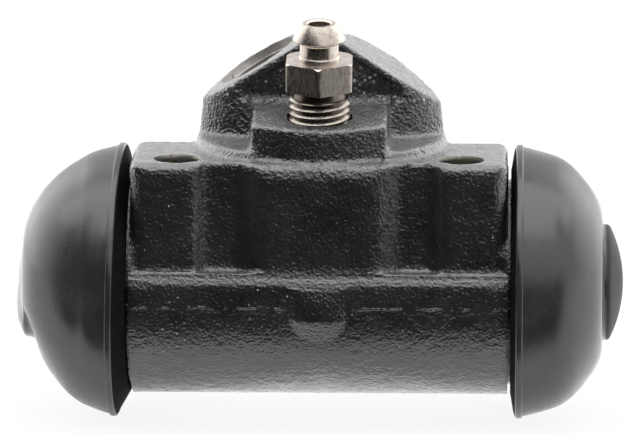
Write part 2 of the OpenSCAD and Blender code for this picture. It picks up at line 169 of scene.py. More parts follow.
# %% Studio walls
world = bpy.data.worlds.new("studio")
bpy.context.scene.world = world
world.use_nodes = True
walls = world.node_tree
walls.nodes.clear()
direction = node(walls, "ShaderNodeTexCoord").outputs["Generated"]
axes = node(walls, "ShaderNodeSeparateXYZ")
join(walls, direction, axes.inputs[0])
toward = times(walls, axes.outputs["Y"], -1.0)
turn = math_node(walls, "ARCTAN2", axes.outputs["X"], toward)
rise = math_node(walls, "ARCSINE", axes.outputs["Z"])
top_edge = fade(walls, turn, -0.5, 0.5, 0.66, 0.16)
off_edge = minus(walls, rise, top_edge)
aside = math_node(walls, "ABSOLUTE", plus(walls, turn, 0.2))
window = times(walls, fade(walls, aside, 1.1, 1.5, 1, 0), fade(walls, off_edge, -0.08, 0.12, 1, 0))
side = math_node(walls, "ABSOLUTE", turn)
glow = times(walls, fade(walls, side, 1.5, 2.3, 0, 1.3), fade(walls, side, 2.5, 2.9, 1, 0))
glow = times(walls, glow, fade(walls, rise, 0.5, 1.1, 1, 0))
above = node(walls, "ShaderNodeVectorMath", operation="DOT_PRODUCT")
join(walls, direction, above.inputs[0])
above.inputs[1].default_value = (0, -0.3, 0.954)
glow = plus(walls, glow, fade(walls, above.outputs["Value"], 0.55, 0.95, 0, 0.25))
lit = plus(walls, minus(walls, 1.0, times(walls, window, 0.985)), glow)
print("studio walls with a dark window toward the camera")

# %% Backdrop
eye = node(walls, "ShaderNodeLightPath").outputs["Is Camera Ray"]
level = node(walls, "ShaderNodeMix", data_type="FLOAT")
join(walls, eye, level.inputs["Factor"])
join(walls, lit, level.inputs["A"])
level.inputs["B"].default_value = 1.0
backdrop = node(walls, "ShaderNodeBackground")
backdrop.inputs["Color"].default_value = (1, 1, 1, 1)
join(walls, level.outputs["Result"], backdrop.inputs["Strength"])
sky = node(walls, "ShaderNodeOutputWorld")
join(walls, backdrop.outputs[0], sky.inputs["Surface"])
print("white backdrop for the camera")

# %% [markdown]
# ## Softboxes
# One large lamp hangs over the part and two stand at its sides. Their size
# matters more than their power: a large lamp gives a broad, soft highlight.

# %% Softboxes
def softbox(name, place, target, width, height, radiance):
    lamp = bpy.data.lights.new(name, "AREA")
    lamp.shape = "RECTANGLE"
    lamp.size = width
    lamp.size_y = height
    lamp.energy = radiance * math.pi * width * height
    box = bpy.data.objects.new(name, lamp)
    box.location = place
    box.rotation_euler = (Vector(target) - Vector(place)).to_track_quat("-Z", "Y").to_euler()
    bpy.context.scene.collection.objects.link(box)
    print(name, round(lamp.energy, 2), "W")


softbox("top_box", (0, -0.08, 0.5), (0, 0, 0), 0.8, 0.55, 1.3)
softbox("left_box", (-0.55, 0.1, 0.5), (0, 0, 0), 0.3, 0.3, 1.2)
softbox("right_box", (0.55, 0.1, 0.5), (0, 0, 0), 0.3, 0.3, 1.2)

# %% [markdown]
# ## Floor
# The part stands on the rims of its boots on a white table. For the eye and for
# reflections the table glows at white, and the rest of its shade is a plain
# diffuse white that keeps the soft shadow. In reflections the table darkens
# toward the camera, as a table does that ends in a dark room.

# %% Floor
RIM_DROP = 20.95
FLOOR_Z = BORE.z - RIM_DROP
table = bmesh.new()
bmesh.ops.create_circle(table, cap_ends=True, segments=96, radius=3)
bmesh.ops.translate(table, verts=table.verts, vec=(0, 0.01, FLOOR_Z * MM))
floor_mesh = bpy.data.meshes.new("floor")
table.to_mesh(floor_mesh)
table.free()
floor = bpy.data.objects.new("floor", floor_mesh)
bpy.context.scene.collection.objects.link(floor)
print("floor at", round(FLOOR_Z, 2), "mm")

# %% White table
white = bpy.data.materials.new("white_table")
white.use_nodes = True
tree = white.node_tree
tree.nodes.clear()
spot = node(tree, "ShaderNodeSeparateXYZ")
join(tree, node(tree, "ShaderNodeTexCoord").outputs["Object"], spot.inputs[0])
rays = node(tree, "ShaderNodeLightPath")
front = fade(tree, spot.outputs["Y"], -0.012, -0.02)
toward = times(tree, spot.outputs["Y"], -1.0)
bearing = math_node(tree, "ARCTAN2", spot.outputs["X"], toward)
round_part = math_node(tree, "ABSOLUTE", plus(tree, bearing, 0.15))
dim = times(tree, front, fade(tree, round_part, 1.15, 1.5, 1, 0))
mirrored = larger(tree, rays.outputs["Is Glossy Ray"], rays.outputs["Is Transmission Ray"])
in_mirror = times(tree, mirrored, plus(tree, times(tree, dim, 0.4), 0.6))
share = larger(tree, times(tree, rays.outputs["Is Camera Ray"], 0.9), in_mirror)
side_light = fade(tree, round_part, 1.6, 2.3, 0, 0.9)
shaded = times(tree, mirrored, minus(tree, times(tree, dim, 0.985), side_light))
glow = node(tree, "ShaderNodeEmission")
join(tree, minus(tree, 1.0, shaded), glow.inputs["Strength"])
matt = node(tree, "ShaderNodeBsdfDiffuse")
matt.inputs["Color"].default_value = (0.92, 0.92, 0.92, 1)
blend = node(tree, "ShaderNodeMixShader")
join(tree, share, blend.inputs[0])
join(tree, matt.outputs[0], blend.inputs[1])
join(tree, glow.outputs[0], blend.inputs[2])
join(tree, blend.outputs[0], node(tree, "ShaderNodeOutputMaterial").inputs["Surface"])
floor_mesh.materials.append(white)
print("white table ready")

# %% [markdown]
# ## A recipe card for finishes
# Every finish starts from the Principled shader and the object's own
# coordinates, so a pattern stays on the piece when the piece moves. The helpers
# give noise at a grain size in millimetres, colours along a ramp and bumps.

# %% Finish helpers
def finish_base(name, **sockets):
    made = bpy.data.materials.new(name)
    made.use_nodes = True
    tree = made.node_tree
    shader = tree.nodes["Principled BSDF"]
    for key, value in sockets.items():
        shader.inputs[key.replace("_", " ")].default_value = value
    place = node(tree, "ShaderNodeTexCoord").outputs["Object"]
    return made, tree, shader, place


def grain(tree, place, size_mm, detail=3.0, roughness=0.55, stretch=(1, 1, 1)):
    made = node(tree, "ShaderNodeTexNoise")
    made.inputs["Scale"].default_value = 1 / (size_mm * MM)
    made.inputs["Detail"].default_value = detail
    made.inputs["Roughness"].default_value = roughness
    if stretch != (1, 1, 1):
        pull = node(tree, "ShaderNodeMapping")
        pull.inputs["Scale"].default_value = stretch
        join(tree, place, pull.inputs["Vector"])
        place = pull.outputs["Vector"]
    join(tree, place, made.inputs["Vector"])
    return made.outputs["Fac"]


def specks(tree, place, size_mm, reach):
    made = node(tree, "ShaderNodeTexVoronoi")
    made.inputs["Scale"].default_value = 1 / (size_mm * MM)
    join(tree, place, made.inputs["Vector"])
    dot = fade(tree, made.outputs["Distance"], reach, reach * 0.5)
    chosen = node(tree, "ShaderNodeSeparateColor")
    join(tree, made.outputs["Color"], chosen.inputs[0])
    return times(tree, dot, fade(tree, chosen.outputs[0], 0.55, 0.7))


def ramp(tree, value, *stops):
    made = node(tree, "ShaderNodeValToRGB")
    while len(made.color_ramp.elements) < len(stops):
        made.color_ramp.elements.new(0.5)
    for element, (at, colour) in zip(made.color_ramp.elements, stops):
        element.position = at
        element.color = (*colour, 1)
    join(tree, value, made.inputs["Fac"])
    return made.outputs["Color"]


def mix_colour(tree, share, a, b):
    made = node(tree, "ShaderNodeMix", data_type="RGBA")
    join(tree, share, made.inputs["Factor"])
    for name, value in (("A", a), ("B", b)):
        socket = [s for s in made.inputs if s.name == name and s.type == "RGBA"][0]
        if isinstance(value, tuple):
            socket.default_value = (*value, 1)
        else:
            join(tree, value, socket)
    return [s for s in made.outputs if s.type == "RGBA"][0]


def bump(tree, shader, height, depth_mm, strength=1.0):
    made = node(tree, "ShaderNodeBump")
    made.inputs["Distance"].default_value = depth_mm * MM
    made.inputs["Strength"].default_value = strength
    join(tree, height, made.inputs["Height"])
    join(tree, made.outputs["Normal"], shader.inputs["Normal"])
    return made


# %% [markdown]
# ## Black enamel on cast iron
# Sand moulds leave a pebbled skin, and the enamel sags over it into an orange
# peel of grains under a millimetre. Two sizes of noise and rounded cells give
# that skin as a bump, and a thin raised line follows the mould joint along the
# barrel. Faces that look up are painted lighter in uneven patches, a painted top
# light, and a few pale specks of dust sit on the paint. More pale specks in the
# hollow behind the screw are painted glints of light on the sand grains.

# %% Black enamel
enamel, tree, shader, place = finish_base(
    "black_enamel", IOR=1.6, Coat_Weight=1.0, Coat_Roughness=0.15, Coat_IOR=1.6)
cells = node(tree, "ShaderNodeTexVoronoi", feature="SMOOTH_F1")
cells.inputs["Scale"].default_value = 1 / (0.5 * MM)
cells.inputs["Smoothness"].default_value = 0.7
join(tree, place, cells.inputs["Vector"])
peel = plus(tree, times(tree, cells.outputs["Distance"], 0.55), grain(tree, place, 0.45, 2.0))
spot = node(tree, "ShaderNodeSeparateXYZ")
join(tree, place, spot.inputs[0])
wander = times(tree, minus(tree, grain(tree, place, 1.6, 3.0), 0.5), 0.9 * MM)
joint_z = plus(tree, spot.outputs["Z"], 21.65 * MM)
off_joint = math_node(tree, "ABSOLUTE", plus(tree, joint_z, wander))
broken = fade(tree, grain(tree, place, 3.0), 0.4, 0.56, 0, 0.7)
seam = times(tree, fade(tree, off_joint, 0.26 * MM, 0.04 * MM), broken)
seam = times(tree, seam, fade(tree, spot.outputs["Y"], 4 * MM, 2 * MM))
off_tongue = fade(tree, math_node(tree, "ABSOLUTE", spot.outputs["X"]), 4 * MM, 6 * MM)
peel = times(tree, peel, fade(tree, spot.outputs["Z"], -5 * MM, 2 * MM, 0.9, 1.35))
skin = plus(tree, peel, times(tree, seam, off_tongue))
peel_bump = bump(tree, shader, skin, 0.17, 1.0)
join(tree, peel_bump.outputs["Normal"], shader.inputs["Coat Normal"])
print("orange peel and mould joint ready")

# %% Dust, painted glints and painted top light on the enamel
patches = fade(tree, grain(tree, place, 6.0, 3.0), 0.52, 0.62)
thick = times(tree, specks(tree, place, 1.1, 0.16), patches)
hollow_front = fade(tree, spot.outputs["Y"], 11 * MM, 11.8 * MM)
hollow_back = fade(tree, spot.outputs["Y"], 12.9 * MM, 12.6 * MM)
hollow = times(tree, hollow_front, hollow_back)
hollow = times(tree, hollow, fade(tree, spot.outputs["Z"], 6.4 * MM, 7 * MM))
# Pale specks packed in the hollow behind the screw are painted glints of the top light on the sand
# grains.
painted_glints = times(tree, specks(tree, place, 0.75, 0.42), hollow)
# Pale specks: dust all over the casting, together with the painted glints in the hollow.
pale_specks = larger(tree, specks(tree, place, 2.6, 0.05), larger(tree, thick, painted_glints))
tone = ramp(
    tree, grain(tree, place, 9.0), (0.35, (0.008, 0.008, 0.009)), (0.7, (0.017, 0.017, 0.018)))
# Faces that look up are painted lighter in uneven patches, more so higher up: painted top light.
up = node(tree, "ShaderNodeSeparateXYZ")
join(tree, node(tree, "ShaderNodeNewGeometry").outputs["Normal"], up.inputs[0])
uneven = fade(tree, grain(tree, place, 1.6, 4.0), 0.3, 0.7, 0.3, 1)
painted_top_light = times(tree, fade(tree, up.outputs["Z"], 0.3, 0.95), uneven)
painted_top_light = times(tree, painted_top_light, fade(tree, spot.outputs["Z"], -12 * MM, 0, 0.7, 1.3))
tone = mix_colour(tree, painted_top_light, tone, (0.09, 0.09, 0.09))
join(tree, mix_colour(tree, pale_specks, tone, (0.32, 0.31, 0.3)), shader.inputs["Base Color"])
join(tree, fade(tree, grain(tree, place, 3.5), 0.3, 0.75, 0.24, 0.42), shader.inputs["Roughness"])
print("black enamel ready")

# %% [markdown]
# ## Machined iron and tapped holes
# Where a cutter went through the paint, the iron is bare and grey, and it has
# begun to rust. Noise picks the rusty patches, and they are rougher than the
# cut metal. The tapped holes are darker and more rusty than the faced port, and
# the bolt holes are darker too: the darker steel is painted shade inside the holes.

# %% Machined iron
def bare_iron(name, steel, rust_from):
    made, tree, shader, place = finish_base(name)
    rust = fade(tree, grain(tree, place, 2.2, 6.0, 0.65), rust_from, rust_from + 0.12)
    dark_steel = tuple(0.75 * c for c in steel)
    tone = ramp(tree, grain(tree, place, 1.2, 5.0), (0.3, dark_steel), (0.75, steel))
    brown = ramp(
        tree, grain(tree, place, 0.8, 4.0), (0.3, (0.05, 0.025, 0.012)), (0.7, (0.17, 0.085, 0.04)))
    join(tree, mix_colour(tree, rust, tone, brown), shader.inputs["Base Color"])
    join(tree, minus(tree, 0.9, times(tree, rust, 0.8)), shader.inputs["Metallic"])
    join(tree, plus(tree, 0.42, times(tree, rust, 0.4)), shader.inputs["Roughness"])
    bump(tree, shader, grain(tree, place, 0.35, 4.0), 0.03, 0.7)
    print(name, "ready")
    return made


faced_iron = bare_iron("faced_iron", (0.62, 0.6, 0.575), 0.56)
# Darker steel for the tapped holes and bolt holes: painted shade inside the holes.
tapped_iron_painted_shade = bare_iron("tapped_iron_painted_shade", (0.06, 0.05, 0.042), 0.62)
bolt_iron_painted_shade = bare_iron("bolt_iron_painted_shade", (0.3, 0.29, 0.26), 0.58)

# %% [markdown]
# ## Turned shapes
# Boots, screw and cutters are all turned parts. On a lathe a profile is swept
# round an axis, and the spin operator does the same: a chain of points, given
# as height and radius, goes once round the Z axis. Points on the axis close
# the shape, doubles are merged and the normals are turned outward.

# %% Lathe
def lathe(profile, steps=96):
    turned = bmesh.new()
    chain = [turned.verts.new((r, 0, h)) for h, r in profile]
    edges = [turned.edges.new(pair) for pair in zip(chain, chain[1:])]
    bmesh.ops.spin(
        turned, geom=chain + edges, cent=(0, 0, 0), axis=(0, 0, 1), dvec=(0, 0, 0),
        angle=math.tau, steps=steps, use_merge=True, use_normal_flip=False, use_duplicate=False)
    bmesh.ops.remove_doubles(turned, verts=turned.verts, dist=1e-4)
    bmesh.ops.recalc_face_normals(turned, faces=turned.faces)
    return turned


def arc(centre, radius, start, end, count):
    for i in range(count + 1):
        angle = math.radians(start + (end - start) * i / count)
        yield centre[0] + radius * math.cos(angle), centre[1] + radius * math.sin(angle)


def ease(value, start, end):
    t = max(0.0, min(1.0, (value - start) / (end - start)))
    return t * t * (3 - 2 * t)


def place_at(origin, axis):
    turned = Vector(axis).normalized().to_track_quat("Z", "Y").to_matrix().to_4x4()
    return Matrix.Translation(Vector(origin)) @ turned


# %% [markdown]
# ## From bmesh to object
# A finished piece has its place in its mesh, so the object itself stays at the
# origin. This helper scales millimetres to metres, shades the faces smooth and
# keeps edges sharp where two faces meet at a steep angle.

# %% Make an object
def piece(name, shape, material, matrix=Matrix(), sharp=35):
    bmesh.ops.transform(shape, matrix=Matrix.Scale(MM, 4) @ matrix, verts=shape.verts)
    mesh = bpy.data.meshes.new(name)
    shape.to_mesh(mesh)
    shape.free()
    mesh.materials.append(material)
    mesh.shade_smooth()
    if sharp:
        mesh.set_sharp_from_angle(angle=math.radians(sharp))
    made = bpy.data.objects.new(name, mesh)
    bpy.context.scene.collection.objects.link(made)
    return made


def settle(made):
    bpy.context.view_layer.update()
    view = bpy.context.evaluated_depsgraph_get()
    mesh = bpy.data.meshes.new_from_object(made.evaluated_get(view))
    made.modifiers.clear()
    made.data = mesh
    return mesh


def carve(made, tool, how="DIFFERENCE"):
    cut = made.modifiers.new("cut", "BOOLEAN")
    cut.operation = how
    cut.solver = "MANIFOLD"
    cut.material_mode = "TRANSFER"
    cut.object = tool
    mesh = settle(made)
    bpy.data.objects.remove(tool)
    return mesh


# %% [markdown]
# ## The raw casting
# The CAD solid has sharp edges, but sand leaves every edge and corner round.
# One could bevel each edge by hand. Remeshing is simpler: a copy of the solid
# is merged, its drilled holes are plugged, the whole is turned into an even
# skin of small squares, and smoothing rounds all edges and hollows at once.

# %% Plug the holes
INLET = (-10, 19.6, 11.854)
INLET_AXIS = (-0.52242, -0.017452, 0.85251)
turn_joint = [j for j in frame["joints"] if j["name"] == "bleeder_turn"][0]
BLEED = Vector(turn_joint["pos_m"]) / MM
BLEED_AXIS = Vector(turn_joint["axis"])
BOLTS = ((-21.35, 0, 0), (21.35, 0, 0))

raw = bmesh.new()
raw.from_mesh(frame["nodes"]["cylinder_body"].data)
bmesh.ops.transform(raw, matrix=Matrix.Scale(1 / MM, 4), verts=raw.verts)
bmesh.ops.remove_doubles(raw, verts=raw.verts, dist=1e-4)


def plug(origin, axis, radius, low, high):
    matrix = place_at(origin, axis) @ Matrix.Translation((0, 0, (low + high) / 2))
    bmesh.ops.create_cone(
        raw, cap_ends=True, segments=48, radius1=radius, radius2=radius,
        depth=high - low, matrix=matrix)


NECK_END = BARREL_END + 5
plug(BORE, (1, 0, 0), 13.2, -NECK_END, NECK_END)
for side in (-1, 1):
    plug(BORE, (side, 0, 0), BARREL_R, BARREL_END - 0.3, BARREL_END + 0.8)
plug(INLET, INLET_AXIS, 6.9, -14, 0)
plug(BLEED, BLEED_AXIS, 5.5, -13, 0)
for bolt in BOLTS:
    plug(bolt, (0, 0, 1), 3.7, -10.5, 0)


def wedge(shape, corners, low, high):
    base = shape.faces.new([shape.verts.new((low, y, z)) for y, z in corners])
    grown = bmesh.ops.extrude_face_region(shape, geom=[base])["geom"]
    moved = [v for v in grown if isinstance(v, bmesh.types.BMVert)]
    bmesh.ops.translate(shape, verts=moved, vec=(high - low, 0, 0))
    bmesh.ops.recalc_face_normals(shape, faces=shape.faces)


SHELF_HALF = 25.8
shelf = [
    (-6.6, -19.5), (-6.6, -18.0), (-5.62, -16.62), (-5.35, -16.45), (-4.9, -16.45), (-4.9, -19.5)]
wedge(raw, shelf, -SHELF_HALF, SHELF_HALF)
print("plugged copy:", len(raw.faces), "faces")

# %% [markdown]
# ## Sand skin
# The remesh, smooth and displace modifiers run in this order and are then made
# permanent. The displacement is a tenth of a millimetre of cloud noise, which
# gives the outline of the casting its slight waviness.

# %% Remesh and smooth
casting = piece("casting", raw, enamel, sharp=0)
voxels = casting.modifiers.new("even_skin", "REMESH")
voxels.mode = "VOXEL"
voxels.voxel_size = 0.42 * MM
soften = casting.modifiers.new("round_edges", "SMOOTH")
soften.factor = 0.5
soften.iterations = 7
clouds = bpy.data.textures.new("sand", "CLOUDS")
clouds.noise_scale = 1.1 * MM
clouds.noise_depth = 1
sand = casting.modifiers.new("sand_skin", "DISPLACE")
sand.texture = clouds
sand.texture_coords = "LOCAL"
sand.mid_level = 0.5
sand.strength = 0.17 * MM
skin_mesh = settle(casting)
print("cast skin:", len(skin_mesh.polygons), "faces")

# %% [markdown]
# ## Three hand-worked places
# ## Three places worked one by one
# so its points are moved to that slope, but not behind the barrel. One long
# cutter gives the shelf its straight slanting top and two more carry it under
# the lobes. A round bar cuts a hollow along the wall behind the bleeder screw.

# %% Tongue, shelf and platform
TONGUE_HALF, TONGUE_FRONT = 5, -17.65
RUN_OUT_FROM, RUN_OUT_SLOPE = -2.7, 0.577
for vert in skin_mesh.vertices:
    x, y, z = vert.co / MM - BORE
    if abs(x) < TONGUE_HALF and -9 < z < 3.5 and y < -14:
        crown = 0.45 - 0.02 * x ** 2 - 0.0018 * x ** 4
        run_out = RUN_OUT_SLOPE * max(0.0, RUN_OUT_FROM - z)
        slope = TONGUE_FRONT - ease(z, 3.2, -0.5) * crown + run_out
        barrel = -math.sqrt(BARREL_R ** 2 - z * z)
        share = ease(abs(x), TONGUE_HALF, 4.2)
        vert.co.y = (y + share * (min(slope, barrel) - y) + BORE.y) * MM

SHELF_FOOT = (-9, -21.58)
long_cut = [(-5.62, -16.8), (-5.62, -14.6), (-9, -14.6), SHELF_FOOT]
lobe_cut = [(-5.22, -16.23), (-5.24, -16.18), (-9, -15.9), SHELF_FOOT]
for corners, start, end in ((long_cut, -30, 30), (lobe_cut, -9.8, -29.9), (lobe_cut, 9.8, 29.9)):
    shelf_cut = bmesh.new()
    wedge(shelf_cut, corners, start, end)
    carve(casting, piece("shelf_cut", shelf_cut, enamel))
scoop = lathe([(-11.4, 0), (-11.4, 1.2), (-10.6, 2), (10.6, 2), (11.4, 1.2), (11.4, 0)], 64)
carve(casting, piece("scoop", scoop, enamel, place_at((0, 10.5, 8.05), (1, 0, 0))))
print("shaped skin:", len(casting.data.polygons), "faces")

# %% [markdown]
# ## Machining
# The bore, the faced ends, the two necks with their boot grooves and the holes
# are cut after the casting is made, as in the workshop, so their edges stay
# crisp. Each cutter carries its finish over to the faces that it cuts: bare iron
# in the bore and port, darker iron in the holes as painted shade, and black
# enamel on the faced ends and necks as painted shade under the boots.

# %% Machine the bore and the necks
BORE_R = 12.7
bore_end = [(NECK_END - 0.7, BORE_R), (NECK_END, 13.4), (35, 13.7), (35, 0)]
bore_cut = lathe([*((-along, radius) for along, radius in reversed(bore_end)), *bore_end])
carve(casting, piece("bore_cut", bore_cut, faced_iron, place_at(BORE, (1, 0, 0))))
# The neck cutters give the faced ends and necks black enamel, not bare iron: painted shade for the
# dark gap under the boots.
for side in (-1, 1):
    end_cut = lathe([
        (36, 15.7), (31.7, 15.7), (31.7, 14.9), (30.1, 14.9), (30.1, 15.7),
        (28.55, 15.7), (28.55, 24), (36, 24), (36, 15.7)])
    carve(casting, piece("end_cut", end_cut, enamel, place_at(BORE, (side, 0, 0))))
print("machined ends:", len(casting.data.polygons), "faces")

# %% Drill the holes
def tapped(radius, start, end, pitch):
    turns = int((start - end) / pitch)
    for i in range(turns):
        yield start - i * pitch, radius
        yield start - (i + 0.5) * pitch, radius + 0.4 * pitch


seat_cut = lathe([(4, 0), (4, 6.5), (-1.1, 6.5), (-1.1, 0)])
carve(casting, piece("seat_cut", seat_cut, faced_iron, place_at(INLET, INLET_AXIS)))
inlet_cut = lathe([
    (0, 0), (0, 4.9), (-1.1, 4.9), (-1.6, 4.35), *tapped(4.35, -1.7, -11.5, 1.1), (-11.6, 4.35),
    (-14.65, 1.3), (-26, 1.3), (-26, 0)])
carve(casting, piece("inlet_cut", inlet_cut, tapped_iron_painted_shade, place_at(INLET, INLET_AXIS)))
bleed_cut = lathe([
    (4, 0), (4, 5.1), (0.1, 5.1), (-0.3, 4.7), (-9, 4.7), (-12.4, 1.3), (-17.7, 1.3), (-17.7, 0)])
carve(casting, piece("bleed_cut", bleed_cut, tapped_iron_painted_shade, place_at(BLEED, BLEED_AXIS)))
for bolt in BOLTS:
    bolt_cut = lathe([
        (4, 0), (4, 3.75), (0.3, 3.75), (-0.35, 3.35), *tapped(3.35, -0.8, -7.8, 1.25),
        (-8, 3.35), (-9.84, 0)], 64)
    carve(casting, piece("bolt_cut", bolt_cut, bolt_iron_painted_shade, place_at(bolt, (0, 0, 1))))
casting.data.set_sharp_from_angle(angle=math.radians(40))
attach(casting, "housing")
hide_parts("cylinder_body")
print("casting:", len(casting.data.polygons), "faces,", [m.name for m in casting.data.materials])

# %% [markdown]
# ## Plated steel
# The bleeder screw is turned from steel and plated with a warm grey zinc. Fine
# scratches run along it, and the plating is dull in places and bright in others.
# Below the hexagon the thread is painted darker, deepest in its grooves, as
# painted shade under the hexagon.

# %% Plated steel
plating, tree, shader, place = finish_base("plated_steel", Metallic=1.0)
along = grain(tree, place, 0.22, 4.0, 0.6, (1, 1, 0.12))
blotch = grain(tree, place, 1.8, 4.0)
tone = ramp(
    tree, blotch, (0.3, (0.5, 0.445, 0.39)), (0.55, (0.61, 0.55, 0.49)), (0.8, (0.7, 0.64, 0.575)))
grime = fade(tree, grain(tree, place, 0.5, 5.0), 0.52, 0.7, 0.0, 0.5)
tone = mix_colour(tree, grime, tone, (0.13, 0.1, 0.08))
from_seat = node(tree, "ShaderNodeVectorMath", operation="SUBTRACT")
join(tree, place, from_seat.inputs[0])
from_seat.inputs[1].default_value = BLEED * MM
height = node(tree, "ShaderNodeVectorMath", operation="DOT_PRODUCT")
join(tree, from_seat.outputs[0], height.inputs[0])
height.inputs[1].default_value = BLEED_AXIS
across = node(tree, "ShaderNodeVectorMath", operation="CROSS_PRODUCT")
join(tree, from_seat.outputs[0], across.inputs[0])
across.inputs[1].default_value = BLEED_AXIS
radius = node(tree, "ShaderNodeVectorMath", operation="LENGTH")
join(tree, across.outputs[0], radius.inputs[0])
groove = fade(tree, radius.outputs["Value"], 4.55 * MM, 4.15 * MM)
below_hex = fade(tree, height.outputs["Value"], 4.75 * MM, 4.65 * MM)
# Below the hexagon the thread is painted darker, most in its grooves: painted shade under the
# hexagon.
painted_shade_under_hex = times(tree, below_hex, larger(tree, 0.45, times(tree, groove, 0.85)))
join(tree, mix_colour(tree, painted_shade_under_hex, tone, (0.1, 0.083, 0.07)), shader.inputs["Base Color"])
join(tree, fade(tree, along, 0.3, 0.75, 0.22, 0.37), shader.inputs["Roughness"])
bump(tree, shader, along, 0.012, 0.7)
print("plated steel ready")

# %% [markdown]
# ## Bleeder screw
# A thread is a small tooth that climbs as it turns. The spin operator takes a
# lift for each step, so one tooth profile becomes a whole thread; two planes
# trim it and its open ends are filled. The shank, the hexagon and the nipple
# are joined to it, and the drilling is cut last.

# %% Thread
PITCH = 25.4 / 24
STEPS = 48
TURNS = 13
thread = bmesh.new()
tooth_profile = ((0, 3.95), (0.43, 4.58), (0.5, 4.65), (0.57, 4.58), (1, 3.95))
tooth = [thread.verts.new((r, 0, h * PITCH)) for h, r in tooth_profile]
sides = [thread.edges.new(pair) for pair in zip(tooth, tooth[1:])]
bmesh.ops.spin(
    thread, geom=tooth + sides, cent=(0, 0, 0), axis=(0, 0, 1), dvec=(0, 0, PITCH / STEPS),
    angle=math.tau * TURNS, steps=STEPS * TURNS,
    use_merge=False, use_normal_flip=False, use_duplicate=False)
bmesh.ops.remove_doubles(thread, verts=thread.verts, dist=1e-3)
bmesh.ops.translate(thread, verts=thread.verts, vec=(0, 0, -7.6))
for height, facing in ((-6.2, -1), (3.35, 1)):
    bmesh.ops.bisect_plane(
        thread, geom=thread.verts[:] + thread.edges[:] + thread.faces[:],
        plane_co=(0, 0, height), plane_no=(0, 0, facing), clear_outer=True)
bmesh.ops.holes_fill(thread, edges=[e for e in thread.edges if e.is_boundary], sides=0)
bmesh.ops.triangulate(thread, faces=[f for f in thread.faces if len(f.verts) > 4])
bmesh.ops.recalc_face_normals(thread, faces=thread.faces)
at_bleed = place_at(BLEED, BLEED_AXIS)
bleeder = piece("bleeder", thread, plating, at_bleed)
print("thread:", len(bleeder.data.polygons), "faces")

# %% Hexagon
HEX_LOW, HEX_TOP, TIP = 4.7, 9.1, 14.8
HEX_WIDTH = 9.9
hex_r = HEX_WIDTH / 2 / math.cos(math.radians(30))
hexagon = bmesh.new()
bmesh.ops.create_cone(
    hexagon, cap_ends=True, segments=6, radius1=hex_r, radius2=hex_r, depth=HEX_TOP - HEX_LOW,
    matrix=Matrix.Translation((0, 0, (HEX_LOW + HEX_TOP) / 2)))
bmesh.ops.bevel(
    hexagon, geom=[e for e in hexagon.edges if abs(e.verts[0].co.z - e.verts[1].co.z) > 1],
    offset=0.07, affect="EDGES", segments=2, profile=0.5, material=-1)
bolt_head = piece("hexagon", hexagon, plating, at_bleed)
round_off = lathe([
    (HEX_TOP, 0), (HEX_TOP, 5.35), (HEX_TOP - 0.3, 5.8),
    (HEX_LOW + 0.2, 5.8), (HEX_LOW, 5.5), (HEX_LOW, 0)])
carve(bolt_head, piece("round_off", round_off, plating, at_bleed), "INTERSECT")
carve(bleeder, bolt_head, "UNION")
print("screw with its hexagon:", len(bleeder.data.polygons), "faces")

# %% Nipple and shank
shank = lathe([
    (-12.2, 0), (-12.2, 1.8), (-10.55, 3.45), (-7.1, 3.45), (-6.4, 4.1), (-6.0, 4.1),
    (3.0, 4.1), (3.4, 3.95), (HEX_LOW + 0.5, 3.95), (HEX_LOW + 0.5, 0)])
carve(bleeder, piece("shank", shank, plating, at_bleed), "UNION")
nipple = lathe([
    (HEX_TOP - 1, 0), (HEX_TOP - 1, 3.1), (HEX_TOP + 0.3, 3.1), (HEX_TOP + 0.5, 3.05),
    (HEX_TOP + 0.65, 2.92), (TIP - 3.2, 2.9), (TIP - 3.05, 2.98), (TIP - 2.75, 3.6),
    (TIP - 2.6, 3.9), (TIP - 2.48, 3.96),
    (TIP - 2.34, 3.92), (TIP - 0.2, 2.62), (TIP - 0.05, 2.5), (TIP, 2.35), (TIP, 0)], 72)
carve(bleeder, piece("nipple", nipple, plating, at_bleed), "UNION")
drill = lathe(
    [(TIP + 1, 0), (TIP + 1, 2.1), (TIP, 1.95), (TIP - 0.25, 1.7), (-7.6, 1.7), (-7.6, 0)], 48)
carve(bleeder, piece("drill", drill, plating, at_bleed))
bleeder.data.set_sharp_from_angle(angle=math.radians(28))
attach(bleeder, "bleeder")
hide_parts("bleeder_screw")
print("bleeder:", len(bleeder.data.polygons), "faces")

# %% [markdown]
# ## Boot rubber
# Moulded rubber is black with a satin skin. Handling leaves soft grey clouds on
# it, the mould leaves fine rings, and dust clings to it in tiny pale dots. The
# tip of the right button is painted darker as painted shade, and the back of
# each boot, toward the casting, is a near-black matt rubber as painted shade.

# %% Boot rubber
rubber, tree, shader, place = finish_base("boot_rubber", IOR=1.68)
cloud = grain(tree, place, 7.0, 4.0)
tone = ramp(tree, cloud, (0.3, (0.015, 0.015, 0.016)), (0.7, (0.03, 0.03, 0.031)))
pale_specks = specks(tree, place, 3.6, 0.035)
spot = node(tree, "ShaderNodeSeparateXYZ")
join(tree, place, spot.inputs[0])
# The tip of the right boot's button is painted darker: painted shade on a dome that faces away from
# the light.
button = fade(tree, spot.outputs["X"], 43.3 * MM, 43.6 * MM)
tone = mix_colour(tree, button, tone, (0.007, 0.007, 0.008))
join(tree, mix_colour(tree, pale_specks, tone, (0.3, 0.3, 0.29)), shader.inputs["Base Color"])
rings = grain(tree, place, 0.5, 3.0, 0.6, (1, 0.05, 0.05))
satin = fade(tree, plus(tree, cloud, times(tree, rings, 0.4)), 0.5, 0.9, 0.19, 0.3)
worn = times(tree, button, 0.45)
join(tree, plus(tree, satin, worn), shader.inputs["Roughness"])
bump(tree, shader, plus(tree, rings, grain(tree, place, 0.3, 2.0)), 0.006, 0.5)
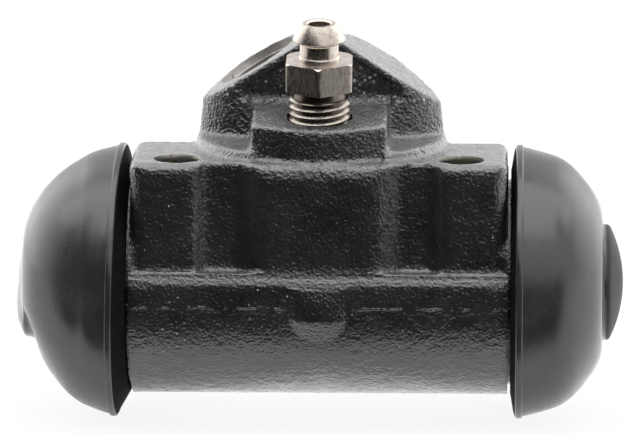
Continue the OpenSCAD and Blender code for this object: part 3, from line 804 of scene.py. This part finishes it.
# Near-black matt rubber for the back of each boot: painted shade in the gap between boot and
# casting.
inside, tree, shader, place = finish_base("boot_back_painted_shade", Specular_IOR_Level=0.1, Roughness=0.8)
tone = ramp(
    tree, grain(tree, place, 0.9, 3.0), (0.3, (0.003, 0.003, 0.003)), (0.7, (0.008, 0.008, 0.008)))
join(tree, tone, shader.inputs["Base Color"])
bump(tree, shader, grain(tree, place, 0.3, 2.0), 0.01, 0.5)
print("boot rubber ready")

# %% [markdown]
# ## Dust boots
# A boot is a cap of rubber: a thin lip in the neck groove, a wide rim, a round
# shoulder and a domed button that the brake shoe's link presses on. Its profile
# is drawn once, from the tip of the dome over the outside and back along the
# inside, and the lathe turns it.

# %% Boot profile
RIM, BUTTON, LENGTH = 20.9, 8.75, 17.6
DOME = 2.1
NECK, FLOOR = 2.4, 15.2
CAVITY, CAVITY_R = (6.05, 10.05), 6.1
dome_r = (BUTTON ** 2 + DOME ** 2) / (2 * DOME)
dome_turn = math.degrees(math.asin((BUTTON - 0.25) / dome_r))


def through(points, steps=4):
    ends = [points[0], *points, points[-1]]
    for a, b, c, d in zip(ends, ends[1:], ends[2:], ends[3:]):
        for i in range(steps):
            t = i / steps
            yield tuple(
                q + 0.5 * t * (r - p + t * (2 * p - 5 * q + 4 * r - w + t * (3 * (q - r) + w - p)))
                for p, q, r, w in zip(a, b, c, d))
    yield points[-1]


shoulder = through([
    (14.33, 9.7), (14.4, 10.5), (14.25, 11.4), (13.9, 12.3), (13.3, 13.4), (12.4, 14.7),
    (11.2, 16.2), (9.7, 17.75), (7.9, 18.95), (5.9, 19.65), (4.1, 20.15), (2.5, 20.55)])
boot_profile = [
    *arc((LENGTH - dome_r, 0), dome_r, 0, dome_turn, 12),
    (15.45, 8.68), (15.28, 8.78), (15.0, 8.83), (14.72, 8.9), (14.5, 9.08), (14.38, 9.35),
    *shoulder,
    (2.34, 20.6), (2.25, 20.8), (2.12, 20.89), (1.95, RIM), (1.5, RIM), (1.35, 20.84),
    (1.22, 20.6), (0.95, 19.9), (0.52, 17.3), (0.45, 17.1), (0.45, 15.75), (1.65, 15.75),
    (1.65, 14.95), (3.15, 14.95), (3.15, 15.75), (5.3, 15.75), (5.6, 17.7),
    *arc(CAVITY, CAVITY_R, 78, 0, 14),
    (12.1, 7.9), (FLOOR, 7.9), (FLOOR, 0)]
print("boot profile:", len(boot_profile), "points")

# %% [markdown]
# ## Two boots, one of them leaning
# The right boot sits square. The left one has been pushed by its piston: its
# upper half is drawn into one smooth slope, the lower edge of the button stands
# proud, and the rim has lifted off a little in front and below. The outside is
# moved along the axis by smooth weights, and the inside stays on the piston.

# %% Lean of the left boot
def lean(point):
    along, up, front = point.z, point.y, point.x
    radius = math.hypot(point.x, point.y)
    off_cavity = math.hypot(along - CAVITY[0], radius - CAVITY[1])
    if along > FLOOR + 0.1 or (radius > 8.3 and along > 5 and off_cavity > CAVITY_R + 1.1):
        slope = LENGTH * (1 - (radius / 20.6) ** 2.6) ** 0.55
        share = ease(up / max(radius, 0.1), -0.95, -0.2) * ease(radius, 3, 9) * ease(along, 5, 9.5)
        button = 0.1 + min(1.05, 0.19 * max(0.0, -up - 0.3))
        point.z = along + share * (slope - along) + (1 - share) * button * ease(radius, 9.8, 8.6)
    if radius > 16 and along < 9:
        lift = 0.1 + 0.55 * (1 - up / 21) + 0.55 * (front / 21)
        point.z += lift * ease(radius, 16.5, 20) * ease(along, 9, 1)


# %% Left and right boot
for word, side in (("left", -1), ("right", 1)):
    name = word + "_dust_boot"
    boot = lathe(boot_profile, 128)
    seat = Matrix((
        (0, 0, side, BORE.x + side * BARREL_END),
        (side, 0, 0, BORE.y),
        (0, 1, 0, BORE.z),
        (0, 0, 0, 1)))
    # Faces at the back of the boot, toward the casting, take the painted-shade rubber.
    for face in boot.faces:
        middle = face.calc_center_median()
        if middle.z < 1.3 and math.hypot(middle.x, middle.y) < 20.5:
            face.material_index = 1
    if side < 0:
        for vert in boot.verts:
            lean(vert.co)
    cap = piece(name, boot, rubber, seat, 40)
    cap.data.materials.append(inside)
    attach(cap, "housing")
    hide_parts(word + "_boot")
    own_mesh(cap)
    print(name, len(cap.data.polygons), "faces")

# %% [markdown]
# ## Parts inside the bore
# The pistons, cups and expanders keep their CAD shapes, which are plain turned
# forms. They only need the right finishes, so that an opened or cut model
# shows what it is made of.

# %% Hidden finishes
def inner_finish(name, dark, light, grain_mm, stretch, rough, metallic):
    made, tree, shader, place = finish_base(name, Metallic=metallic)
    lines = grain(tree, place, grain_mm, 4.0, 0.6, stretch)
    join(tree, ramp(tree, lines, (0.3, dark), (0.75, light)), shader.inputs["Base Color"])
    join(tree, fade(tree, lines, 0.3, 0.75, rough - 0.08, rough + 0.08), shader.inputs["Roughness"])
    bump(tree, shader, lines, 0.01, 0.5)
    return made


TURNED, EVEN = (1, 0.05, 0.05), (1, 1, 1)
alloy = inner_finish(
    "piston_alloy", (0.5, 0.51, 0.53), (0.72, 0.73, 0.75), 0.25, TURNED, 0.34, 1.0)
seal = inner_finish(
    "cup_rubber", (0.012, 0.012, 0.012), (0.03, 0.03, 0.03), 0.8, EVEN, 0.5, 0.0)
sheet_steel = inner_finish(
    "sheet_steel", (0.4, 0.41, 0.43), (0.6, 0.61, 0.63), 0.4, EVEN, 0.38, 1.0)
wire = inner_finish(
    "spring_wire", (0.3, 0.31, 0.33), (0.5, 0.51, 0.54), 0.3, EVEN, 0.32, 1.0)
inner = {"piston": alloy, "cup": seal, "expander": sheet_steel}
for name, solid in frame["nodes"].items():
    for word, material in inner.items():
        if name.endswith(word):
            solid.data.materials.clear()
            solid.data.materials.append(material)
            print(name, "->", material.name)

# %% [markdown]
# ## A spring cut in two
# The spring sits between two pistons that slide on their own. It is cut at its
# middle, and both halves are fixed to the housing.

# %% Spring halves
spring = frame["nodes"]["return_spring"]
for word, side in (("left", -1), ("right", 1)):
    half = bmesh.new()
    half.from_mesh(spring.data)
    half.transform(Matrix.Scale(1 / MM, 4) @ spring.matrix_world)
    bmesh.ops.remove_doubles(half, verts=half.verts, dist=1e-4)
    cut = bmesh.ops.bisect_plane(
        half, geom=[*half.verts, *half.edges, *half.faces], plane_co=BORE, plane_no=(side, 0, 0),
        clear_inner=True)
    rim = [edge for edge in cut["geom_cut"] if isinstance(edge, bmesh.types.BMEdge)]
    bmesh.ops.holes_fill(half, edges=rim)
    bmesh.ops.recalc_face_normals(half, faces=half.faces)
    coil = piece(word + "_spring_half", half, wire, sharp=50)
    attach(coil, "housing")
    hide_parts("return_spring")
    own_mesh(coil)
